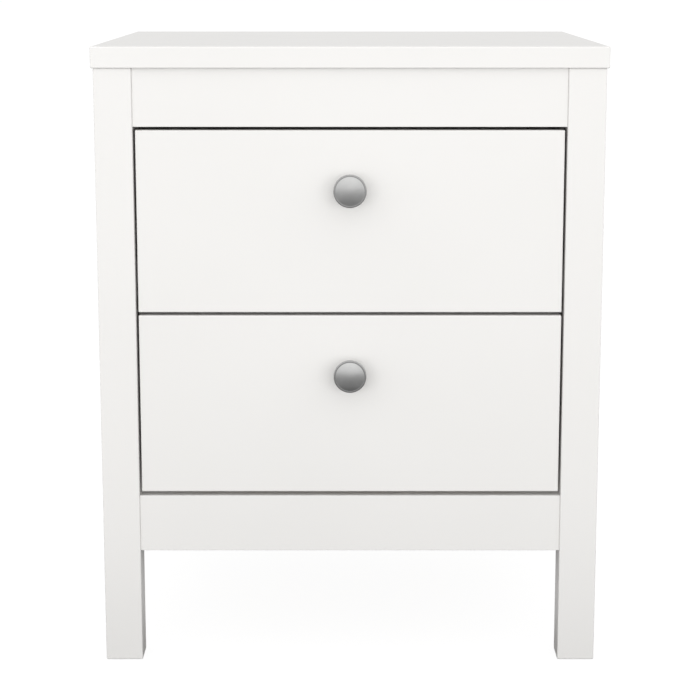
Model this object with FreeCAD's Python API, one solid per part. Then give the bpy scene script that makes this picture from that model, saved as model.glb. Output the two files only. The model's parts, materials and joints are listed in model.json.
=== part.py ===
import FreeCAD, Part
import math
import os

# A free-standing nightstand: a frame of four square legs, rails and set-in side panels carries a
# top, and two inset drawers roll on steel runners. Millimetres, +Z up, drawers open towards -Y.
# The origin is on the floor, at the centre of the whole outline, knobs included.

# Outside
TOP_WIDTH = 434.0
TOP_DEPTH = 383.0
HEIGHT = 536.0
TOP_THICKNESS = 18.0
BODY_WIDTH = 430.0
LEG_WIDTH = 32.0
LEG_DEPTH = 30.0
LEG_SETBACK = 2.0
LEG_CLEARANCE = 99.5

# Boards of the frame
RAIL_SETBACK = 4.0
RAIL_THICKNESS = 18.0
APRON_HEIGHT = 49.0
LOWER_RAIL_HEIGHT = 49.5
SIDE_PANEL_THICKNESS = 18.0
BACK_PANEL_THICKNESS = 3.0
BACK_PANEL_INSET = 0.5
BACK_PANEL_MARGIN = 9.0
BACK_PANEL_LOWER_MARGIN = 2.0
BACK_PANEL_UPPER_MARGIN = 1.0
EASED_EDGE = 1.0
RAIL_EASED_EDGE = 0.4

# Drawer fronts in their opening
FRONT_SETBACK = 4.5
FRONT_WIDTH = 362.0
FRONT_HEIGHT = 155.5
FRONT_THICKNESS = 16.0
GAP_BELOW_LOWER = 3.5
GAP_BETWEEN = 2.7

# Drawer boxes
RUNNER_SPACE = 12.5
BOX_LENGTH = 350.0
BOX_HEIGHT = 110.0
BOX_RISE = 14.0
BOX_BOARD = 12.0
BOX_EASED_EDGE = 0.6
BOTTOM_THICKNESS = 3.0
BOTTOM_RISE = 10.0
GROOVE_DEPTH = 6.0
GROOVE_PLAY = 0.1
GROOVE_END_PLAY = 0.5

# Knobs
KNOB_DROP = 49.5
KNOB_REACH = 22.0
KNOB_RADIUS = 14.0
KNOB_FACE_RADIUS = 12.3
KNOB_NECK_RADIUS = 5.5
KNOB_BASE_RADIUS = 8.0
KNOB_THREAD_DEPTH = 9.0

# Roller runners
STEEL = 1.2
RUNNER_LENGTH = 350.0
RUNNER_START = 22.0
RUNNER_HALF_HEIGHT = 16.0
CHANNEL_WIDTH = 10.4
RUNNER_LIP = 2.7
SLIDE_START = 21.0
SLIDE_LENGTH = 348.0
SLIDE_FLANGE = 10.0
RUNNER_AXIS_RISE = 13.0
ROLLER_RADIUS = 10.5
ROLLER_WIDTH = 7.5
ROLLER_GAP = 0.2
FRONT_AXLE_SETBACK = 12.0
SIDE_PLAY = 0.5
AXLE_RADIUS = 2.5
AXLE_PLAY = 0.07
AXLE_HEAD_RADIUS = 4.0
AXLE_HEAD = 0.8
DRAWER_TRAVEL = 260.0
STOP_PLAY = 0.5
STOP_HEIGHT = 4.0
STOP_LENGTH = 3.0
REAR_STOP_HEIGHT = 18.8

# Fasteners and their holes
FIT_PLAY = 0.1
END_PLAY = 0.5
OVERSHOOT = 1.0
DOWEL_RADIUS = 4.0
DOWEL_LENGTH = 30.0
CAM_SETBACK = 24.0
CAM_FLOOR = 0.9
FRAME_CAM_RADIUS = 7.4
FRAME_BOLT_THREAD = 11.0
BOX_CAM_RADIUS = 6.0
BOX_BOLT_THREAD = 9.0
BOLT_THREAD_RADIUS = 3.0
BOLT_NECK_RADIUS = 2.2
BOLT_HEAD_RADIUS = 3.3
BOLT_HEAD = 4.0
SCREW_RADIUS = 1.75
SCREW_HEAD_RADIUS = 3.6
SCREW_HEAD = 1.9
RUNNER_SCREW_LENGTH = 15.0
SLIDE_SCREW_LENGTH = 10.5
BOX_SCREW_LENGTH = 35.0
NAIL_RADIUS = 0.8
NAIL_LENGTH = 18.0
NAIL_HEAD_RADIUS = 2.2
NAIL_HEAD = 0.4

# Places worked out from the sizes above. Depths run back from the top's front edge.
WHOLE_DEPTH = TOP_DEPTH + KNOB_REACH - FRONT_SETBACK
FRONT_Y = WHOLE_DEPTH / 2 - TOP_DEPTH
LEG_TOP = HEIGHT - TOP_THICKNESS
LEG_OUTER = BODY_WIDTH / 2
LEG_INNER = LEG_OUTER - LEG_WIDTH
FRAME_REAR = TOP_DEPTH - BACK_PANEL_INSET - BACK_PANEL_THICKNESS
REAR_LEG_FRONT = FRAME_REAR - LEG_DEPTH
FRONT_LEG_REAR = LEG_SETBACK + LEG_DEPTH
PANEL_MIDDLE = LEG_INNER + SIDE_PANEL_THICKNESS / 2
LOWER_FRONT_Z = LEG_CLEARANCE + LOWER_RAIL_HEIGHT + GAP_BELOW_LOWER
UPPER_FRONT_Z = LOWER_FRONT_Z + FRONT_HEIGHT + GAP_BETWEEN
BOX_FRONT = FRONT_SETBACK + FRONT_THICKNESS
BOX_REAR = BOX_FRONT + BOX_LENGTH
BOX_OUTER = LEG_INNER - RUNNER_SPACE
BOX_INNER = BOX_OUTER - BOX_BOARD
RUNNER_END = RUNNER_START + RUNNER_LENGTH
FRONT_AXLE_DEPTH = RUNNER_START + FRONT_AXLE_SETBACK
REAR_AXLE_DEPTH = RUNNER_END - STEEL - STOP_PLAY - ROLLER_RADIUS
REAR_AXLE_DROP = RUNNER_HALF_HEIGHT - STEEL - ROLLER_GAP - ROLLER_RADIUS

SIDES = {"left": -1, "right": 1}
UP = FreeCAD.Vector(0, 0, 1)
BACKWARDS = FreeCAD.Vector(0, 1, 0)

pieces = {}
bores = {}


def add(node, *solids):
    """Give solids to a node."""
    pieces.setdefault(node, []).extend(solids)


def drill(node, *tools):
    """Keep the tools that open holes and grooves in a node's solids."""
    bores.setdefault(node, []).extend(tools)


def point(x, depth, z):
    """A point from its X, its depth behind the top's front edge and its height."""
    return FreeCAD.Vector(x, FRONT_Y + depth, z)


def sideways(side):
    """The direction from the middle of the nightstand towards one side."""
    return FreeCAD.Vector(side, 0, 0)


def block(x, depth, z):
    """A box between two X values, two depths and two heights."""
    corner = point(min(x), min(depth), min(z))
    return Part.makeBox(abs(x[1] - x[0]), abs(depth[1] - depth[0]), abs(z[1] - z[0]), corner)


def board(x, depth, z, easing=EASED_EDGE):
    """A box with all its edges eased."""
    blank = block(x, depth, z)
    return blank.makeFillet(easing, blank.Edges)


def rod(start, direction, length, radius):
    """A round bar."""
    return Part.makeCylinder(radius, length, start, direction)


def lathe(profile, start, direction):
    """Turn a closed profile of edges, drawn as radius along X and distance along Z, about Z and place it."""
    turned = Part.Face(Part.Wire(profile)).revolve(FreeCAD.Vector(0, 0, 0), UP, 360)
    turned = Part.Solid(turned.Shells[0])
    turned.Placement = FreeCAD.Placement(start, FreeCAD.Rotation(UP, direction))
    return turned


def lathe_points(*corners):
    """Straight edges round a closed profile given as (radius, distance) corners."""
    vectors = [FreeCAD.Vector(radius, 0, distance) for radius, distance in corners]
    return Part.makePolygon(vectors + vectors[:1]).Edges


# Fasteners: each function makes the piece, and opens the holes that it sits in


def dowel(group, centre, direction, first, second):
    """A beech dowel across the joint of two boards, half its length in each."""
    start = centre - direction * (DOWEL_LENGTH / 2)
    hole_start = start - direction * END_PLAY
    add(group, rod(start, direction, DOWEL_LENGTH, DOWEL_RADIUS))
    hole = rod(hole_start, direction, DOWEL_LENGTH + 2 * END_PLAY, DOWEL_RADIUS + FIT_PLAY)
    drill(first, hole)
    drill(second, hole)


def cam_joint(prefix, centre, into, face, holder, carrier, board_thickness, lock_radius, thread):
    """A bolt screwed into the holder, and a cam lock in the carrier board that pulls on its head."""
    neck_end = CAM_SETBACK - BOLT_HEAD / 2
    bolt = lathe(
        lathe_points(
            (0, -thread),
            (BOLT_THREAD_RADIUS, -thread),
            (BOLT_THREAD_RADIUS, 0),
            (BOLT_NECK_RADIUS, 0),
            (BOLT_NECK_RADIUS, neck_end),
            (BOLT_HEAD_RADIUS, neck_end),
            (BOLT_HEAD_RADIUS, neck_end + BOLT_HEAD),
            (0, neck_end + BOLT_HEAD),
        ),
        centre,
        into,
    )
    channel_radius = BOLT_HEAD_RADIUS + FIT_PLAY
    lock_depth = board_thickness / 2 + channel_radius + CAM_FLOOR
    mouth = centre + into * CAM_SETBACK + face * (board_thickness / 2)
    channel_length = neck_end + BOLT_HEAD + END_PLAY
    channel = rod(centre, into, channel_length, channel_radius)
    lock = rod(mouth, -face, lock_depth, lock_radius)
    lock = lock.cut([channel, cross_slot(mouth, face, into)])
    add(prefix + "cam_bolts", bolt)
    add(prefix + "cam_locks", lock)
    drill(holder, rod(centre, -into, thread + END_PLAY, BOLT_THREAD_RADIUS + FIT_PLAY))
    drill(carrier, channel, rod(mouth, -face, lock_depth + FIT_PLAY, lock_radius + FIT_PLAY))


def frame_cam_joint(centre, into, face, holder, carrier, board_thickness):
    """A cam joint of the frame, with the larger lock."""
    cam_joint(
        "carcass_", centre, into, face, holder, carrier, board_thickness, FRAME_CAM_RADIUS, FRAME_BOLT_THREAD
    )


def cross_slot(mouth, face, across):
    """The screwdriver cross in a cam lock's face."""
    arm = 3.2
    half_width = 0.7
    depth = 1.6
    slots = []
    for direction in (across, across.cross(face)):
        width = direction.cross(face)
        corner = mouth - direction * arm - width * half_width - face * depth
        outline = [
            corner,
            corner + direction * (2 * arm),
            corner + direction * (2 * arm) + width * (2 * half_width),
            corner + width * (2 * half_width),
            corner,
        ]
        slots.append(Part.Face(Part.makePolygon(outline)).extrude(face * (depth + OVERSHOOT)))
    return slots[0].fuse(slots[1])


def screw_profile(length, play):
    """Half section of a countersunk screw, its head's face at distance 0, its point at its length."""
    tip = 3.0
    return lathe_points(
        (0, -play),
        (SCREW_HEAD_RADIUS + play, -play),
        (SCREW_HEAD_RADIUS + play, 0),
        (SCREW_RADIUS + play, SCREW_HEAD + play),
        (SCREW_RADIUS + play, length - tip + play),
        (0, length + play),
    )


def screw(group, head, into, length, *holders):
    """A countersunk wood screw through a steel web or a board, its head just under the surface."""
    start = head + into * (FIT_PLAY / 2)
    shank = lathe(screw_profile(length, 0), start, into)
    socket_depth = 1.3
    socket_radius = 1.2
    socket = rod(start, into, socket_depth, socket_radius)
    add(group, shank.cut(socket))
    for holder in holders:
        drill(holder, lathe(screw_profile(length, FIT_PLAY), start, into))


def nail(group, head, into, *holders):
    """A flat-headed nail whose head lies on the outer board."""
    shank = rod(head, into, NAIL_LENGTH, NAIL_RADIUS)
    cap = rod(head, -into, NAIL_HEAD, NAIL_HEAD_RADIUS)
    add(group, shank.fuse(cap).removeSplitter())
    for holder in holders:
        drill(holder, rod(head, into, NAIL_LENGTH + FIT_PLAY, NAIL_RADIUS + FIT_PLAY / 2))


# The frame


def make_legs():
    """Four square legs, as high as the underside of the top."""
    depths = {"front": (LEG_SETBACK, FRONT_LEG_REAR), "rear": (REAR_LEG_FRONT, FRAME_REAR)}
    for row, depth in depths.items():
        for name, side in SIDES.items():
            leg = board((side * LEG_INNER, side * LEG_OUTER), depth, (0, LEG_TOP))
            add(f"leg_{row}_{name}", leg)


def make_top():
    """The top board lies over the legs, rails and side panels."""
    half = TOP_WIDTH / 2
    add("top_panel", board((-half, half), (0, TOP_DEPTH), (LEG_TOP, HEIGHT)))


def make_side_panels():
    """Boards between the front and rear legs, flush with their inner faces, pinned by dowels and cams."""
    dowel_heights = (130.0, 300.0, 450.0)
    top_joint_inset = 55.0
    top_dowel_inset = 90.0
    top_dowel_drop = 4.0
    for name, side in SIDES.items():
        node = f"side_panel_{name}"
        x = (side * LEG_INNER, side * (LEG_INNER + SIDE_PANEL_THICKNESS))
        add(node, board(x, (FRONT_LEG_REAR, REAR_LEG_FRONT), (LEG_CLEARANCE, LEG_TOP)))
        middle = side * PANEL_MIDDLE
        for z in dowel_heights:
            dowel("carcass_dowels", point(middle, FRONT_LEG_REAR, z), BACKWARDS, f"leg_front_{name}", node)
            dowel("carcass_dowels", point(middle, REAR_LEG_FRONT, z), BACKWARDS, f"leg_rear_{name}", node)
        for end, inward in ((FRONT_LEG_REAR, 1), (REAR_LEG_FRONT, -1)):
            joint = point(middle, end + inward * top_joint_inset, LEG_TOP)
            frame_cam_joint(joint, -UP, -sideways(side), "top_panel", node, SIDE_PANEL_THICKNESS)
            peg = point(middle, end + inward * top_dowel_inset, LEG_TOP - top_dowel_drop)
            dowel("carcass_dowels", peg, UP, node, "top_panel")


def make_rail(node, row, front_depth, face, z):
    """A rail between two legs, held at each end by a dowel and a cam joint."""
    dowel_rise = 35.0
    cam_rise = 15.0
    depth = (front_depth, front_depth + RAIL_THICKNESS)
    add(node, board((-LEG_INNER, LEG_INNER), depth, z, RAIL_EASED_EDGE))
    middle = front_depth + RAIL_THICKNESS / 2
    for name, side in SIDES.items():
        leg = f"leg_{row}_{name}"
        dowel("carcass_dowels", point(side * LEG_INNER, middle, z[0] + dowel_rise), sideways(side), node, leg)
        joint = point(side * LEG_INNER, middle, z[0] + cam_rise)
        frame_cam_joint(joint, -sideways(side), face, leg, node, RAIL_THICKNESS)


def make_rails():
    """Two rails across the front and two across the rear."""
    upper = (LEG_TOP - APRON_HEIGHT, LEG_TOP)
    lower = (LEG_CLEARANCE, LEG_CLEARANCE + LOWER_RAIL_HEIGHT)
    rear = FRAME_REAR - RAIL_THICKNESS
    make_rail("apron_rail", "front", RAIL_SETBACK, BACKWARDS, upper)
    make_rail("lower_front_rail", "front", RAIL_SETBACK, BACKWARDS, lower)
    make_rail("rear_top_rail", "rear", rear, -BACKWARDS, upper)
    make_rail("rear_bottom_rail", "rear", rear, -BACKWARDS, lower)


def make_back():
    """A hardboard sheet nailed over the rear legs and rear rails."""
    half = LEG_OUTER - BACK_PANEL_MARGIN
    low = LEG_CLEARANCE + BACK_PANEL_LOWER_MARGIN
    high = LEG_TOP - BACK_PANEL_UPPER_MARGIN
    rear_face = FRAME_REAR + BACK_PANEL_THICKNESS
    add("back_panel", block((-half, half), (FRAME_REAR, rear_face), (low, high)))
    columns = 7
    rows = 7
    side_inset = 5.0
    end_inset = 12.0
    outermost = half - side_inset
    lowest = low + end_inset
    highest = high - end_inset
    for height, rail in ((lowest, "rear_bottom_rail"), (highest, "rear_top_rail")):
        for i in range(1, columns - 1):
            x = outermost * (2 * i / (columns - 1) - 1)
            nail("back_panel_nails", point(x, rear_face, height), -BACKWARDS, "back_panel", rail)
    for name, side in SIDES.items():
        for i in range(rows):
            height = lowest + i * (highest - lowest) / (rows - 1)
            head = point(side * outermost, rear_face, height)
            nail("back_panel_nails", head, -BACKWARDS, "back_panel", f"leg_rear_{name}")


# Runners


def runner_height(front_z):
    """The height of a runner's centre line above the floor, from the bottom edge of its drawer front."""
    return front_z + BOX_RISE + RUNNER_AXIS_RISE


def make_runner(level, name, side, front_z):
    """The fixed half of a roller runner: a steel channel with stops at both ends of the travel."""
    node = f"runner_{level}_{name}"
    axis_z = runner_height(front_z)
    wall = side * LEG_INNER
    web = side * (LEG_INNER - STEEL)
    edge = side * (LEG_INNER - CHANNEL_WIDTH)
    depth = (RUNNER_START, RUNNER_END)
    low = axis_z - RUNNER_HALF_HEIGHT
    high = axis_z + RUNNER_HALF_HEIGHT
    floor = low + STEEL
    channel = block((web, wall), depth, (low, high))
    channel = channel.fuse(
        [
            block((edge, wall), depth, (low, floor)),
            block((edge, wall), depth, (high - STEEL, high)),
            block((edge, edge + side * STEEL), depth, (high - RUNNER_LIP, high)),
            block((edge, wall), (RUNNER_END - STEEL, RUNNER_END), (low, low + REAR_STOP_HEIGHT)),
            block((edge, wall), travel_stop_depths(), (low, floor + STOP_HEIGHT)),
        ]
    )
    add(node, channel.removeSplitter())
    pin_length = CHANNEL_WIDTH - FIT_PLAY
    axle(node, "runner_axles", point(wall, FRONT_AXLE_DEPTH, axis_z), -sideways(side), pin_length)
    screw_depths = (62.0, 190.0, 325.0)
    for screw_depth in screw_depths:
        head = point(web, screw_depth, axis_z)
        screw("runner_screws", head, sideways(side), RUNNER_SCREW_LENGTH, node, f"side_panel_{name}")


def travel_stop_depths():
    """Where the raised stop lies that the rear roller meets when the drawer is fully open."""
    roller_rise = ROLLER_RADIUS + ROLLER_GAP
    reach = math.sqrt(ROLLER_RADIUS**2 - (roller_rise - STOP_HEIGHT) ** 2)
    rear = REAR_AXLE_DEPTH - DRAWER_TRAVEL - reach - STOP_PLAY
    return (rear - STOP_LENGTH, rear)


def axle(holder, group, start, outwards, length):
    """A riveted pin in a steel web, with a head that keeps its roller on."""
    pin = rod(start, outwards, length, AXLE_RADIUS)
    head = rod(start + outwards * (length - AXLE_HEAD), outwards, AXLE_HEAD, AXLE_HEAD_RADIUS)
    add(group, pin.fuse(head).removeSplitter())
    hole_start = start - outwards * OVERSHOOT
    drill(holder, rod(hole_start, outwards, STEEL + 2 * OVERSHOOT, AXLE_RADIUS + FIT_PLAY / 2))


def make_roller(node, start, direction):
    """A nylon wheel with a rounded tread and hollow cheeks."""
    bore = AXLE_RADIUS + AXLE_PLAY
    rounding = 0.8
    hub = 5.2
    rim = 8.4
    hollow = 1.1
    tread = ROLLER_RADIUS
    width = ROLLER_WIDTH
    corners = [
        (bore, 0),
        (hub, 0),
        (hub, hollow),
        (rim, hollow),
        (rim, 0),
        (tread - rounding, 0),
        (tread, rounding),
        (tread, width - rounding),
        (tread - rounding, width),
        (rim, width),
        (rim, width - hollow),
        (hub, width - hollow),
        (hub, width),
        (bore, width),
    ]
    add(node, lathe(lathe_points(*corners), start, direction))


def make_slide(level, name, side, front_z):
    """The moving half of a runner: a folded strip under and beside the drawer's side, with its roller."""
    node = f"{level}_slide_{name}"
    axis_z = runner_height(front_z)
    box_bottom = front_z + BOX_RISE
    face = side * BOX_OUTER
    web = side * (BOX_OUTER + STEEL)
    depth = (SLIDE_START, SLIDE_START + SLIDE_LENGTH)
    flange_low = axis_z + ROLLER_RADIUS + ROLLER_GAP
    strip = block((face, web), depth, (box_bottom - STEEL, flange_low + STEEL))
    strip = strip.fuse(
        [
            block((side * BOX_INNER, web), depth, (box_bottom - STEEL, box_bottom)),
            block((face, side * (BOX_OUTER + SLIDE_FLANGE)), depth, (flange_low, flange_low + STEEL)),
        ]
    )
    add(node, strip.removeSplitter())
    axle_z = axis_z - REAR_AXLE_DROP
    pin_length = STEEL + SIDE_PLAY + ROLLER_WIDTH + SIDE_PLAY / 2 + AXLE_HEAD
    axle(node, f"{level}_slide_axles", point(face, REAR_AXLE_DEPTH, axle_z), sideways(side), pin_length)
    screw_rise = 18.0
    screw_depths = (48.0, 190.0, 330.0)
    holder = f"{level}_drawer_side_{name}"
    for screw_depth in screw_depths:
        head = point(web, screw_depth, box_bottom + screw_rise)
        screw(f"{level}_slide_screws", head, -sideways(side), SLIDE_SCREW_LENGTH, node, holder)


def make_rollers(level, name, side, front_z):
    """The front roller turns on the fixed channel and the rear one on the drawer's slide."""
    axis_z = runner_height(front_z)
    front_start = point(side * (LEG_INNER - STEEL - SIDE_PLAY), FRONT_AXLE_DEPTH, axis_z)
    make_roller(f"{level}_{name}_front_roller", front_start, -sideways(side))
    rear_start = point(side * (BOX_OUTER + STEEL + SIDE_PLAY), REAR_AXLE_DEPTH, axis_z - REAR_AXLE_DROP)
    make_roller(f"{level}_{name}_rear_roller", rear_start, sideways(side))


# Drawers


def quarter_bend(start, corner, end):
    """An arc between two points that rounds off the corner between them."""
    corner_share = 2 - math.sqrt(2)
    middle = (start + end) / 2
    return Part.Arc(start, corner + (middle - corner) * corner_share, end).toShape()


def knob_profile():
    """Half section of a knob: a flared base and neck, a round head, a rim and a gently domed face."""
    base_height = 2.0
    base_flare = 2.5
    head_height = 5.6
    head_flare = 4.5
    rear_edge_inset = 1.0
    rear_edge_height = 1.2
    rim_drop = 1.9
    rim_rounding = 0.9
    rim_step = 0.1
    head_start = KNOB_REACH - head_height
    rim_height = KNOB_REACH - rim_drop

    def at(radius, distance):
        return FreeCAD.Vector(radius, 0, distance)

    def lines(*corners):
        return [Part.LineSegment(a, b).toShape() for a, b in zip(corners, corners[1:])]

    base_edge = at(KNOB_BASE_RADIUS, base_height)
    neck_low = at(KNOB_NECK_RADIUS, base_height + base_flare)
    neck_high = at(KNOB_NECK_RADIUS, head_start - head_flare)
    head_rear = at(KNOB_RADIUS - rear_edge_inset, head_start)
    head_side = at(KNOB_RADIUS, head_start + rear_edge_height)
    rim_outside = at(KNOB_RADIUS, rim_height - rim_rounding)
    rim_front = at(KNOB_RADIUS - rim_rounding, rim_height)
    rim_inside = at(KNOB_FACE_RADIUS, rim_height)
    face_start = at(KNOB_FACE_RADIUS, rim_height - rim_step)
    face_top = at(0, KNOB_REACH)
    rise = face_top.z - face_start.z
    sphere = (KNOB_FACE_RADIUS**2 + rise**2) / (2 * rise)
    angle = math.asin(KNOB_FACE_RADIUS / sphere) / 2
    face_middle = at(sphere * math.sin(angle), KNOB_REACH - sphere + sphere * math.cos(angle))
    edges = lines(at(0, 0), at(KNOB_BASE_RADIUS, 0), base_edge)
    edges.append(quarter_bend(base_edge, at(KNOB_NECK_RADIUS, base_height), neck_low))
    edges += lines(neck_low, neck_high)
    edges.append(quarter_bend(neck_high, at(KNOB_NECK_RADIUS, head_start), head_rear))
    edges += lines(head_rear, head_side, rim_outside)
    edges.append(quarter_bend(rim_outside, at(KNOB_RADIUS, rim_height), rim_front))
    edges += lines(rim_front, rim_inside, face_start)
    edges.append(Part.Arc(face_start, face_middle, face_top).toShape())
    edges += lines(face_top, at(0, 0))
    return edges


def make_knob(level, front_z):
    """The knob and the screw that holds it from inside the drawer."""
    z = front_z + FRONT_HEIGHT - KNOB_DROP
    face = point(0, FRONT_SETBACK, z)
    inside = point(0, BOX_FRONT, z)
    thread_radius = 2.0
    head_radius = 4.0
    head_height = 2.4
    head_easing = 0.8
    hole_play = 0.3
    length = FRONT_THICKNESS + KNOB_THREAD_DEPTH - OVERSHOOT
    add(f"{level}_knob", lathe(knob_profile(), face, -BACKWARDS))
    drill(f"{level}_knob", rod(face, -BACKWARDS, KNOB_THREAD_DEPTH, thread_radius + FIT_PLAY / 2))
    head = rod(inside, BACKWARDS, head_height, head_radius)
    rim = [edge for edge in head.Edges if edge.CenterOfMass.y > inside.y + head_height / 2 + head_easing]
    head = head.makeFillet(head_easing, rim)
    shank = rod(inside, -BACKWARDS, length, thread_radius)
    recess = cross_slot(inside + BACKWARDS * head_height, BACKWARDS, UP)
    add(f"{level}_knob_screw", shank.fuse(head).cut(recess).removeSplitter())
    drill(f"{level}_drawer_front", rod(inside, -BACKWARDS, FRONT_THICKNESS, thread_radius + hole_play))


def make_drawer_bottom(level, box_bottom):
    """The thin bottom, and the groove round the box that holds it."""
    low = box_bottom + BOTTOM_RISE
    high = low + BOTTOM_THICKNESS
    reach = GROOVE_DEPTH - GROOVE_END_PLAY
    x = BOX_INNER + reach
    rear = BOX_REAR - BOX_BOARD
    add(f"{level}_drawer_bottom", block((-x, x), (BOX_FRONT - reach, rear + reach), (low, high)))
    z = (low - GROOVE_PLAY, high + GROOVE_PLAY)
    wide = BOX_INNER + GROOVE_DEPTH
    front_groove = (BOX_FRONT - GROOVE_DEPTH, BOX_FRONT + OVERSHOOT)
    back_groove = (rear - OVERSHOOT, rear + GROOVE_DEPTH)
    side_groove = (BOX_FRONT - OVERSHOOT, BOX_REAR + OVERSHOOT)
    drill(f"{level}_drawer_front", block((-wide, wide), front_groove, z))
    drill(f"{level}_drawer_back", block((-wide, wide), back_groove, z))
    for name, side in SIDES.items():
        x = (side * (BOX_INNER - OVERSHOOT), side * wide)
        drill(f"{level}_drawer_side_{name}", block(x, side_groove, z))


def make_drawer(level, front_z):
    """A front, two sides, a back and a bottom, with their fasteners, knob and slides."""
    box_bottom = front_z + BOX_RISE
    z = (box_bottom, box_bottom + BOX_HEIGHT)
    half = FRONT_WIDTH / 2
    front = board((-half, half), (FRONT_SETBACK, BOX_FRONT), (front_z, front_z + FRONT_HEIGHT))
    add(f"{level}_drawer_front", front)
    rear = BOX_REAR - BOX_BOARD
    add(f"{level}_drawer_back", board((-BOX_INNER, BOX_INNER), (rear, BOX_REAR), z, BOX_EASED_EDGE))
    middle = BOX_OUTER - BOX_BOARD / 2
    holder = f"{level}_drawer_front"
    cam_sizes = (BOX_BOARD, BOX_CAM_RADIUS, BOX_BOLT_THREAD)
    joint_rises = (32.0, 88.0)
    for name, side in SIDES.items():
        node = f"{level}_drawer_side_{name}"
        add(node, board((side * BOX_INNER, side * BOX_OUTER), (BOX_FRONT, BOX_REAR), z, BOX_EASED_EDGE))
        inwards = -sideways(side)
        for rise in joint_rises:
            joint = point(side * middle, BOX_FRONT, box_bottom + rise)
            cam_joint(f"{level}_", joint, BACKWARDS, inwards, holder, node, *cam_sizes)
            head = point(side * BOX_OUTER, BOX_REAR - BOX_BOARD / 2, box_bottom + rise)
            screw(f"{level}_back_screws", head, inwards, BOX_SCREW_LENGTH, node, f"{level}_drawer_back")
        make_slide(level, name, side, front_z)
        make_runner(level, name, side, front_z)
        make_rollers(level, name, side, front_z)
    make_drawer_bottom(level, box_bottom)
    make_knob(level, front_z)


def finished(node):
    """A node's solids with their holes and grooves opened."""
    solids = pieces[node]
    if node in bores:
        solids = [solid.cut(bores[node]) for solid in solids]
    solids = [inner for solid in solids for inner in solid.Solids]
    return solids[0] if len(solids) == 1 else Part.makeCompound(solids)


os.makedirs("parts", exist_ok=True)
make_top()
make_legs()
make_side_panels()
make_rails()
make_back()
make_drawer("upper", UPPER_FRONT_Z)
make_drawer("lower", LOWER_FRONT_Z)
for node in pieces:
    finished(node).exportStep(f"parts/{node}.step")
print(f"{len(pieces)} nodes")
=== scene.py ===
import json
import math

import bmesh
import bpy
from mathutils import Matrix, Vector


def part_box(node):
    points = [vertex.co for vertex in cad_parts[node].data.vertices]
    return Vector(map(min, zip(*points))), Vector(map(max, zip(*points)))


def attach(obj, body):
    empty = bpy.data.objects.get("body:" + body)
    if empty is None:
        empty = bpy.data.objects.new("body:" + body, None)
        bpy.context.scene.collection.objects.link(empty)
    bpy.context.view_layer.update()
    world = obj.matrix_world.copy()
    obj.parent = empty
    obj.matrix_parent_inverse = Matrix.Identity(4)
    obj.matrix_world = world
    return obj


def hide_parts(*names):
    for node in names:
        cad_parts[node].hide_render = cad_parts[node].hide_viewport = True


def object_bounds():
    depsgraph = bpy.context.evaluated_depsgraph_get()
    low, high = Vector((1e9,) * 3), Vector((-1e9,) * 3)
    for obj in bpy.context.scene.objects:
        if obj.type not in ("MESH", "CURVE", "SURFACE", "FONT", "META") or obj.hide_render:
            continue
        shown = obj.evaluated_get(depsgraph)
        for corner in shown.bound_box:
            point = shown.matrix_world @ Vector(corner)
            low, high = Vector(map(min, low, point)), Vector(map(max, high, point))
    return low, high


# A white nightstand with two inset drawers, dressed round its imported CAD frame.
# Lengths are in metres, +Z is up and the drawer fronts face -Y.

MILLIMETRE = 0.001

# Camera, set by where it stands from the front edge of the top
CAMERA_DISTANCE = 1.68
CAMERA_HEIGHT = 0.603
CAMERA_PITCH = math.radians(10.92)
CAMERA_LENS = 102.75

# The middle range of a noise, over which colours and roughness are spread
NOISE_LOW = 0.3
NOISE_HIGH = 0.7

# Sky, as (height, level) from 0 at the horizon to 1 overhead, and its strength in front and behind
SKY_LEVELS = ((0.0, 0.77), (0.35, 1.0), (0.6, 1.0), (1.0, 0.82))
SKY_FRONT_BACK = (1.36, 0.84)

# Soft box, set by where it stands from the front of the object
BOX_DISTANCE = 3.2
BOX_HEIGHT = 0.5
BOX_AIM_HEIGHT = 0.4
BOX_SIZE = (5.0, 1.2)
BOX_POWER = 55.0

# Floor, and the card under it, whose levels are (share of CARD_REACH from the origin, level)
STAGE_RADIUS = 30.0
STAGE_ROUGHNESS = 0.9
FLOOR_DROP = 0.0002
FLOOR_GLOW = 0.93
FLOOR_REFLECTANCE = 0.12
FLOOR_MOTTLE = 0.005
CARD_REACH = 4.0
# The card's glow is painted light and shade: bright under the middle, painted shade round the feet, paler
# further out.
CARD_LEVELS = (
    (0.0, 0.8),
    (0.035, 0.6),
    (0.05, 0.12),
    (0.08, 0.08),
    (0.14, 0.33),
    (0.2, 0.36),
    (0.31, 0.5),
    (1.0, 0.82),
)

# Knobs, with all lengths in millimetres
BASE_RADIUS = 8.0
BASE_REAR_ROUNDING = 0.6
BASE_EDGE_ROUNDING = 0.8
BASE_SIDE_HEIGHT = 1.2
NECK_RADIUS = 5.5
BASE_FLARE = 3.3
HEAD_FLARE = 4.1
HEAD_DEPTH = 5.6
HEAD_ROUNDING = 0.9
REAR_SLOPE = 0.2
RIM_WIDTH = 1.7
RIM_DROP = 1.9
FACE_GROOVE = 0.08

# Facets round a turned piece, and the bend from which one of its edges is shaded as sharp
TURNED_FACETS = 160
SHARP_EDGE = math.radians(50)

LEVELS = ("upper", "lower")

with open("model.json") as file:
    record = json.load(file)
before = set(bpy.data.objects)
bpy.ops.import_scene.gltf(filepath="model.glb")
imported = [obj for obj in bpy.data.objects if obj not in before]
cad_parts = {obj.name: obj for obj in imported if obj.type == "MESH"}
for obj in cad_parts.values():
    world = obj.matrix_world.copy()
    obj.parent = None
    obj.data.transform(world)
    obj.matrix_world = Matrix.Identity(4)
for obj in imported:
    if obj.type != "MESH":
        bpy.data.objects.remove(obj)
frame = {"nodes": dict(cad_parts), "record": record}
nodes = frame["nodes"]
cad_low, cad_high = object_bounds()


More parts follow.
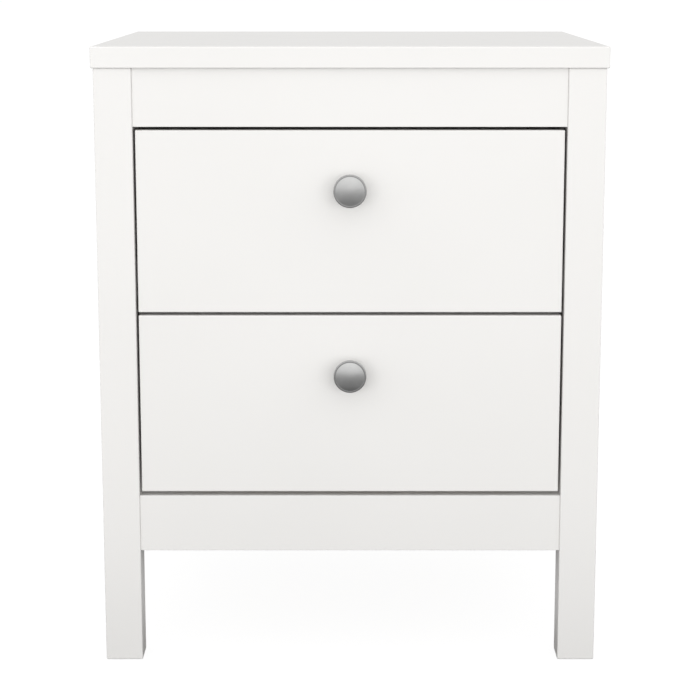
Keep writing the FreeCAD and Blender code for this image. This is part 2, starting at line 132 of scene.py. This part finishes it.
def add_object(name, data):
    """A new object in the scene."""
    piece = bpy.data.objects.new(name, data)
    bpy.context.scene.collection.objects.link(piece)
    return piece


# Materials


def shader_of(material):
    """The material's principled shader."""
    return material.node_tree.nodes["Principled BSDF"]


def new_material(name, roughness, metallic=0.0):
    """A material with a principled shader of one roughness, unless a node is linked to it later."""
    material = bpy.data.materials.new(name)
    material.use_nodes = True
    shader = shader_of(material)
    shader.inputs["Metallic"].default_value = metallic
    shader.inputs["Roughness"].default_value = roughness
    return material


def add_node(material, kind, inputs=(), **settings):
    """A node with some of its settings and unlinked inputs filled in."""
    node = material.node_tree.nodes.new(kind)
    for key, value in settings.items():
        setattr(node, key, value)
    for key, value in dict(inputs).items():
        node.inputs[key].default_value = value
    return node


def link(material, source, target):
    """Join an output to an input."""
    material.node_tree.links.new(source, target)


def place(material, stretch=(1, 1, 1)):
    """Object coordinates in metres, which for a CAD node are measured from the frame's origin."""
    coordinates = add_node(material, "ShaderNodeTexCoord")
    mapping = add_node(material, "ShaderNodeMapping", {"Scale": stretch})
    link(material, coordinates.outputs["Object"], mapping.inputs["Vector"])
    return mapping.outputs["Vector"]


def noise(material, where, scale, detail=2.0, roughness=0.5):
    """A cloudy pattern from 0 to 1, finer with a larger scale."""
    texture = add_node(
        material, "ShaderNodeTexNoise", {"Scale": scale, "Detail": detail, "Roughness": roughness}
    )
    link(material, where, texture.inputs["Vector"])
    return texture.outputs["Fac"]


def fill_ramp(node, stops):
    """Set a colour ramp's stops, each (position, (r, g, b))."""
    elements = node.color_ramp.elements
    while len(elements) < len(stops):
        elements.new(0.5)
    for element, (position, colour) in zip(elements, stops):
        element.position = position
        element.color = (*colour, 1)


def greys(levels):
    """Ramp stops from (position, level) pairs."""
    return [(position, (level, level, level)) for position, level in levels]


def ramp(material, factor, *stops):
    """Colours laid along a factor; each stop is (position, (r, g, b))."""
    node = add_node(material, "ShaderNodeValToRGB")
    fill_ramp(node, stops)
    link(material, factor, node.inputs["Fac"])
    return node.outputs["Color"]


def mottle(material, factor, dark, light):
    """Two close colours, one over each end of a noise's middle range."""
    return ramp(material, factor, (NOISE_LOW, dark), (NOISE_HIGH, light))


def spread(material, factor, low, high):
    """Maps a noise's middle range onto low to high."""
    limits = {"From Min": NOISE_LOW, "From Max": NOISE_HIGH, "To Min": low, "To Max": high}
    node = add_node(material, "ShaderNodeMapRange", limits)
    link(material, factor, node.inputs["Value"])
    return node.outputs["Result"]


def bump(material, height, distance, strength, below=None):
    """A bump over an earlier one; distance is the relief in metres."""
    node = add_node(material, "ShaderNodeBump", {"Strength": strength, "Distance": distance})
    link(material, height, node.inputs["Height"])
    if below is not None:
        link(material, below, node.inputs["Normal"])
    return node.outputs["Normal"]


def beyond(material, value, limit):
    """1 where a value is over a limit, 0 elsewhere."""
    step = add_node(material, "ShaderNodeMath", operation="GREATER_THAN")
    step.inputs[1].default_value = limit
    link(material, value, step.inputs[0])
    return step.outputs["Value"]


def mix_colours(material, factor, first, second):
    """The first colour at 0 and the second at 1."""
    node = add_node(material, "ShaderNodeMix", data_type="RGBA")
    link(material, factor, node.inputs["Factor"])
    link(material, first, node.inputs["A"])
    link(material, second, node.inputs["B"])
    return node.outputs["Result"]


def multiply_colours(material, first, second):
    """Two colours multiplied together."""
    node = add_node(material, "ShaderNodeMix", data_type="RGBA", blend_type="MULTIPLY")
    node.inputs["Factor"].default_value = 1.0
    link(material, first, node.inputs["A"])
    link(material, second, node.inputs["B"])
    return node.outputs["Result"]


def facing(material, direction):
    """1 on faces within 60 degrees of a direction, 0 elsewhere."""
    geometry = add_node(material, "ShaderNodeNewGeometry")
    dot = add_node(material, "ShaderNodeVectorMath", operation="DOT_PRODUCT")
    dot.inputs[1].default_value = direction
    link(material, geometry.outputs["Normal"], dot.inputs[0])
    return beyond(material, dot.outputs["Value"], math.cos(math.radians(60)))


def foil_material(name, light, dark, relief=1.0):
    """Matt white foil: a nearly even white, with a fine pressed grain and softly varying gloss."""
    material = new_material(name, 0.42)
    shader = shader_of(material)
    where = place(material)
    broad = noise(material, where, 7.0, 3.0)
    link(material, mottle(material, broad, dark, light), shader.inputs["Base Color"])
    gloss = noise(material, where, 60.0, 3.0)
    link(material, spread(material, gloss, 0.38, 0.46), shader.inputs["Roughness"])
    wave_depth = 0.02 * MILLIMETRE * relief
    grain_depth = 0.012 * MILLIMETRE * relief
    waves = bump(material, noise(material, where, 220.0), wave_depth, 0.6)
    grain = bump(material, noise(material, where, 1900.0), grain_depth, 0.7, waves)
    link(material, grain, shader.inputs["Normal"])
    return material


def hardboard_material(name, raw_side):
    """Thin hardboard: printed white on its good side, brown pressed fibre on the raw one."""
    material = new_material(name, 0.6)
    shader = shader_of(material)
    where = place(material)
    fibres = noise(material, where, 900.0, 6.0, 0.7)
    browns = ((0.25, (0.16, 0.088, 0.045)), (0.5, (0.27, 0.165, 0.09)), (0.8, (0.42, 0.29, 0.18)))
    shade = mottle(material, noise(material, where, 18.0, 3.0), (0.88, 0.88, 0.88), (1, 1, 1))
    raw = multiply_colours(material, ramp(material, fibres, *browns), shade)
    white = mottle(material, noise(material, where, 30.0), (0.70, 0.69, 0.665), (0.73, 0.72, 0.70))
    colour = mix_colours(material, facing(material, raw_side), white, raw)
    link(material, colour, shader.inputs["Base Color"])
    link(material, spread(material, fibres, 0.5, 0.75), shader.inputs["Roughness"])
    link(material, bump(material, fibres, 0.05 * MILLIMETRE, 0.5), shader.inputs["Normal"])
    return material


def metal_material(name, light, dark, roughness, scale, relief):
    """Bare or plated metal with a fine uneven surface."""
    material = new_material(name, roughness, 1.0)
    shader = shader_of(material)
    where = place(material)
    tone = noise(material, where, scale, 3.0)
    link(material, mottle(material, tone, dark, light), shader.inputs["Base Color"])
    link(material, spread(material, tone, roughness - 0.04, roughness + 0.05), shader.inputs["Roughness"])
    link(material, bump(material, noise(material, where, scale * 4), relief, 0.5), shader.inputs["Normal"])
    return material


def zinc_material():
    """Bright zinc plating on steel."""
    light, dark = (0.62, 0.62, 0.60), (0.48, 0.48, 0.47)
    return metal_material("zinc_steel_finish", light, dark, 0.3, 500.0, 0.01 * MILLIMETRE)


def cast_zinc_material():
    """Dull cast zinc."""
    light, dark = (0.48, 0.48, 0.48), (0.38, 0.38, 0.38)
    return metal_material("cam_zinc_finish", light, dark, 0.42, 900.0, 0.02 * MILLIMETRE)


def knob_material(face_radius):
    """Satin nickel, turned in fine rings about the knob's own axis, duller outside its domed face."""
    material = new_material("satin_knob_finish", 0.22, 1.0)
    shader = shader_of(material)
    where = place(material)
    pattern = {"Scale": 900.0, "Distortion": 1.5, "Detail": 2.0}
    rings = add_node(material, "ShaderNodeTexWave", pattern, wave_type="RINGS", rings_direction="Y")
    link(material, where, rings.inputs["Vector"])
    from_axis = add_node(material, "ShaderNodeVectorMath", operation="LENGTH")
    link(material, place(material, (1, 0, 1)), from_axis.inputs[0])
    outside = beyond(material, from_axis.outputs["Value"], face_radius)
    cloud = noise(material, where, 160.0, 3.0)
    face = mottle(material, cloud, (0.49, 0.49, 0.486), (0.53, 0.53, 0.525))
    rim = mottle(material, cloud, (0.385, 0.385, 0.382), (0.41, 0.41, 0.406))
    link(material, mix_colours(material, outside, face, rim), shader.inputs["Base Color"])
    link(material, spread(material, cloud, 0.19, 0.25), shader.inputs["Roughness"])
    relief = 0.004 * MILLIMETRE
    turned = bump(material, rings.outputs["Fac"], relief, 0.5)
    grain = bump(material, noise(material, where, 2500.0), relief, 0.5, turned)
    link(material, grain, shader.inputs["Normal"])
    return material


def paint_material(name, light, dark, roughness, subsurface=0.0):
    """Powder coat or moulded nylon: an even colour under a soft orange-peel."""
    material = new_material(name, roughness)
    shader = shader_of(material)
    where = place(material)
    shader.inputs["Subsurface Weight"].default_value = subsurface
    shader.inputs["Subsurface Scale"].default_value = MILLIMETRE
    broad = noise(material, where, 40.0, 3.0)
    link(material, mottle(material, broad, dark, light), shader.inputs["Base Color"])
    link(material, spread(material, broad, roughness - 0.04, roughness + 0.06), shader.inputs["Roughness"])
    peel = noise(material, where, 700.0)
    link(material, bump(material, peel, 0.02 * MILLIMETRE, 0.6), shader.inputs["Normal"])
    return material


def beech_material():
    """Beech, with short dark flecks drawn out along X."""
    material = new_material("beech_finish", 0.6)
    shader = shader_of(material)
    flecks = noise(material, place(material, (200, 1400, 1400)), 1.0, 4.0)
    colour = ramp(material, flecks, (0.35, (0.42, 0.25, 0.12)), (0.6, (0.62, 0.42, 0.24)))
    link(material, colour, shader.inputs["Base Color"])
    link(material, bump(material, flecks, 0.05 * MILLIMETRE, 0.4), shader.inputs["Normal"])
    return material


def dress(material, name):
    """Give a material to every slot of a CAD node."""
    piece = nodes[name]
    for material_slot in piece.material_slots:
        material_slot.material = material


def dress_frame():
    """Materials of every CAD node. The CAD knobs, hidden by the turned ones, get the runners' steel."""
    steel = paint_material("runner_steel_finish", (0.76, 0.76, 0.75), (0.73, 0.73, 0.715), 0.32)
    by_slot = {
        "white_board": foil_material("white_board_finish", (0.782, 0.772, 0.756), (0.770, 0.760, 0.743)),
        "drawer_board": foil_material("drawer_board_finish", (0.76, 0.75, 0.73), (0.74, 0.73, 0.71), 1.6),
        "runner_steel": steel,
        "satin_knob": steel,
        "nylon": paint_material("nylon_finish", (0.74, 0.74, 0.71), (0.68, 0.68, 0.65), 0.4, 0.15),
        "zinc_steel": zinc_material(),
        "cam_zinc": cast_zinc_material(),
        "beech": beech_material(),
    }
    back = hardboard_material("back_hardboard_finish", (0, 1, 0))
    bottom = hardboard_material("bottom_hardboard_finish", (0, 0, -1))
    for subpart in frame["record"]["subparts"]:
        slot = subpart["material_slot"]
        if slot == "hardboard":
            finish = back if subpart["node"] == "back_panel" else bottom
        else:
            finish = by_slot[slot]
        dress(finish, subpart["node"])


# Knobs


def arc(centre, radius, start, end, steps):
    """Points round part of a circle in the plane of radius and distance, angles in degrees."""
    points = []
    for i in range(steps + 1):
        angle = math.radians(start + (end - start) * i / steps)
        points.append((centre[0] + radius * math.cos(angle), centre[1] + radius * math.sin(angle)))
    return points


def knob_base_outline():
    """The base's rear edge, its side and its front edge, which runs smoothly into the flare of the neck."""
    rear_centre = (BASE_RADIUS - BASE_REAR_ROUNDING, BASE_REAR_ROUNDING)
    edge_centre = (BASE_RADIUS - BASE_EDGE_ROUNDING, BASE_SIDE_HEIGHT)
    apart = BASE_EDGE_ROUNDING + BASE_FLARE
    flare_radius = NECK_RADIUS + BASE_FLARE
    lean = math.degrees(math.acos((flare_radius - edge_centre[0]) / apart))
    flare_centre = (flare_radius, BASE_SIDE_HEIGHT + apart * math.sin(math.radians(lean)))
    points = arc(rear_centre, BASE_REAR_ROUNDING, -90, 0, 5)
    points += arc(edge_centre, BASE_EDGE_ROUNDING, 0, lean, 5)
    return points + arc(flare_centre, BASE_FLARE, 180 + lean, 180, 10)[1:]


def knob_head_outline(radius, rear, front):
    """The neck's flare under the head, the head's rear with its rounded edge, and the rim's rounded edge."""
    edge_radius = radius - HEAD_ROUNDING
    side_height = rear + HEAD_ROUNDING + REAR_SLOPE
    rear_ring = (edge_radius - 0.5, rear + 0.15)
    front_ring = (edge_radius - 0.1, front)
    points = arc((NECK_RADIUS + HEAD_FLARE, rear - HEAD_FLARE), HEAD_FLARE, 180, 100, 14)
    points.append(rear_ring)
    points += arc((edge_radius, side_height), HEAD_ROUNDING, -80, 0, 6)
    points += arc((edge_radius, front - HEAD_ROUNDING), HEAD_ROUNDING, 0, 90, 8)
    return points + [front_ring]


def knob_face_outline(face_radius, rim_height, reach):
    """The inner edge of the flat rim, the fine groove inside it and the domed face."""
    inner_ring = (face_radius + 0.2, rim_height)
    groove_bottom = rim_height - FACE_GROOVE
    groove = arc((face_radius + FACE_GROOVE, groove_bottom), FACE_GROOVE, 90, 180, 3)
    rise = reach - groove_bottom
    sphere = (face_radius**2 + rise**2) / (2 * rise)
    edge_angle = math.degrees(math.asin(face_radius / sphere))
    dome = arc((0.0, reach - sphere), sphere, 90 - edge_angle, 90, 26)
    return [inner_ring] + groove + dome[1:]


def knob_outline(radius, reach):
    """Half section of the knob in millimetres, from the base's middle round to the face's middle."""
    rim_height = reach - RIM_DROP
    head = knob_head_outline(radius, reach - HEAD_DEPTH, rim_height)
    face = knob_face_outline(radius - RIM_WIDTH, rim_height, reach)
    return [(0.0, 0.0)] + knob_base_outline() + head + face


def lathe(name, outline):
    """A closed mesh turned about -Y from (radius, distance) points that start and end on the axis."""
    mesh = bmesh.new()
    rings = []
    for radius, distance in outline[1:-1]:
        ring = []
        for i in range(TURNED_FACETS):
            angle = 2 * math.pi * i / TURNED_FACETS
            ring.append(mesh.verts.new((radius * math.cos(angle), -distance, radius * math.sin(angle))))
        rings.append(ring)
    first = mesh.verts.new((0, -outline[0][1], 0))
    last = mesh.verts.new((0, -outline[-1][1], 0))
    for i in range(TURNED_FACETS):
        j = (i + 1) % TURNED_FACETS
        mesh.faces.new((first, rings[0][i], rings[0][j]))
        mesh.faces.new((last, rings[-1][j], rings[-1][i]))
        for low, high in zip(rings, rings[1:]):
            mesh.faces.new((low[j], low[i], high[i], high[j]))
    bmesh.ops.recalc_face_normals(mesh, faces=mesh.faces)
    data = bpy.data.meshes.new(name)
    mesh.to_mesh(data)
    mesh.free()
    data.shade_smooth()
    data.set_sharp_from_angle(angle=SHARP_EDGE)
    return add_object(name, data)


def make_knobs():
    """A turned knob in place of each CAD knob. Both are the size of the upper one."""
    low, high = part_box("upper_knob")
    radius = (high.x - low.x) / 2
    reach = high.y - low.y
    finish = knob_material(radius - RIM_WIDTH * MILLIMETRE)
    outline = knob_outline(radius / MILLIMETRE, reach / MILLIMETRE)
    outline = [(across * MILLIMETRE, along * MILLIMETRE) for across, along in outline]
    for level in LEVELS:
        low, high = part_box(f"{level}_knob")
        knob = lathe(f"{level}_turned_knob", outline)
        knob.location = ((low.x + high.x) / 2, high.y, (low.z + high.z) / 2)
        knob.data.materials.append(finish)
        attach(knob, f"{level}_drawer")
        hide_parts(f"{level}_knob")


# Stage


def unseen_by(piece, *rays):
    """Hide a stage piece or light from some kinds of ray."""
    for ray in rays:
        setattr(piece, f"visible_{ray}", False)


def disc(name, radius, height, segments=96):
    """A flat disc that faces up."""
    data = bpy.data.meshes.new(name)
    rim = []
    for i in range(segments):
        angle = 2 * math.pi * i / segments
        rim.append((radius * math.cos(angle), radius * math.sin(angle), height))
    data.from_pydata(rim, [], [range(segments)])
    return add_object(name, data)


def glow(shader, strength):
    """Make a shader give out white light."""
    shader.inputs["Emission Color"].default_value = (1, 1, 1, 1)
    shader.inputs["Emission Strength"].default_value = strength


def make_floor():
    """A pale floor that glows nearly white, so shadows on it stay faint."""
    floor = disc("floor", STAGE_RADIUS, -FLOOR_DROP)
    material = new_material("floor_finish", STAGE_ROUGHNESS)
    shader = shader_of(material)
    tone = noise(material, place(material), 1.5)
    dark = FLOOR_REFLECTANCE - FLOOR_MOTTLE
    light = FLOOR_REFLECTANCE + FLOOR_MOTTLE
    shade = ramp(material, tone, *greys(((NOISE_LOW, dark), (NOISE_HIGH, light))))
    link(material, shade, shader.inputs["Base Color"])
    shader.inputs["Specular IOR Level"].default_value = 0.0
    glow(shader, FLOOR_GLOW)
    floor.data.materials.append(material)
    unseen_by(floor, "diffuse", "glossy")


def make_backdrop():
    """A white ball round the whole stage, which only the camera sees."""
    mesh = bmesh.new()
    bmesh.ops.create_icosphere(mesh, subdivisions=5, radius=STAGE_RADIUS)
    data = bpy.data.meshes.new("backdrop")
    mesh.to_mesh(data)
    mesh.free()
    backdrop = add_object("backdrop", data)
    material = new_material("backdrop_finish", STAGE_ROUGHNESS)
    shader = shader_of(material)
    shader.inputs["Base Color"].default_value = (0, 0, 0, 1)
    glow(shader, 1.0)
    data.materials.append(material)
    unseen_by(backdrop, "diffuse", "glossy", "shadow", "transmission", "volume_scatter")


def make_floor_card():
    """A glowing card that the object sees in place of the floor. Its glow is painted light and shade: bright
    under the middle, painted shade round its feet, paler further away.
    """
    card = disc("floor_card", STAGE_RADIUS, -2 * FLOOR_DROP)
    material = new_material("floor_card_finish", STAGE_ROUGHNESS)
    shader = shader_of(material)
    shader.inputs["Base Color"].default_value = (0, 0, 0, 1)
    shader.inputs["Specular IOR Level"].default_value = 0.0
    glow(shader, 1.0)
    distance = add_node(material, "ShaderNodeVectorMath", operation="LENGTH")
    link(material, place(material), distance.inputs[0])
    share = add_node(material, "ShaderNodeMath", operation="DIVIDE")
    share.inputs[1].default_value = CARD_REACH
    link(material, distance.outputs["Value"], share.inputs[0])
    # Painted light and shade, laid out by distance from the object's middle.
    shade = ramp(material, share.outputs["Value"], *greys(CARD_LEVELS))
    link(material, shade, shader.inputs["Emission Color"])
    card.data.materials.append(material)
    unseen_by(card, "camera", "shadow")


def make_sky():
    """Light studio walls and ceiling, brighter in front than behind."""
    world = bpy.data.worlds.new("studio_sky")
    world.use_nodes = True
    tree = world.node_tree
    direction = tree.nodes.new("ShaderNodeTexCoord")
    parts = tree.nodes.new("ShaderNodeSeparateXYZ")
    height = tree.nodes.new("ShaderNodeValToRGB")
    fill_ramp(height, greys(SKY_LEVELS))
    front = tree.nodes.new("ShaderNodeMapRange")
    for socket, value in zip(("From Min", "From Max", "To Min", "To Max"), (-1, 1, *SKY_FRONT_BACK)):
        front.inputs[socket].default_value = value
    tree.links.new(direction.outputs["Generated"], parts.inputs["Vector"])
    tree.links.new(parts.outputs["Z"], height.inputs["Fac"])
    tree.links.new(parts.outputs["Y"], front.inputs["Value"])
    sky = tree.nodes["Background"]
    tree.links.new(height.outputs["Color"], sky.inputs["Color"])
    tree.links.new(front.outputs["Result"], sky.inputs["Strength"])
    bpy.context.scene.world = world


def make_soft_box():
    """A wide soft light well in front, which the camera and reflections don't see."""
    light = bpy.data.lights.new("front_box", "AREA")
    light.shape = "RECTANGLE"
    light.size, light.size_y = BOX_SIZE
    light.energy = BOX_POWER
    lamp = add_object("front_box", light)
    stand = Vector((0, cad_low.y - BOX_DISTANCE, BOX_HEIGHT))
    lamp.location = stand
    lamp.rotation_euler = (Vector((0, 0, BOX_AIM_HEIGHT)) - stand).to_track_quat("-Z", "Y").to_euler()
    unseen_by(lamp, "camera", "glossy")


def make_camera():
    """A studio camera a little above the top, tilted down to the middle of the fronts."""
    data = bpy.data.cameras.new("camera")
    data.sensor_width = 36.0
    data.lens = CAMERA_LENS
    camera = add_object("camera", data)
    top_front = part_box("top_panel")[0].y
    camera.location = (0, top_front - CAMERA_DISTANCE, CAMERA_HEIGHT)
    camera.rotation_euler = (math.pi / 2 - CAMERA_PITCH, 0, 0)
    bpy.context.scene.camera = camera


make_camera()
dress_frame()
make_knobs()
make_floor()
make_floor_card()
make_backdrop()
make_sky()
make_soft_box()
bpy.context.scene.view_settings.view_transform = "Standard"
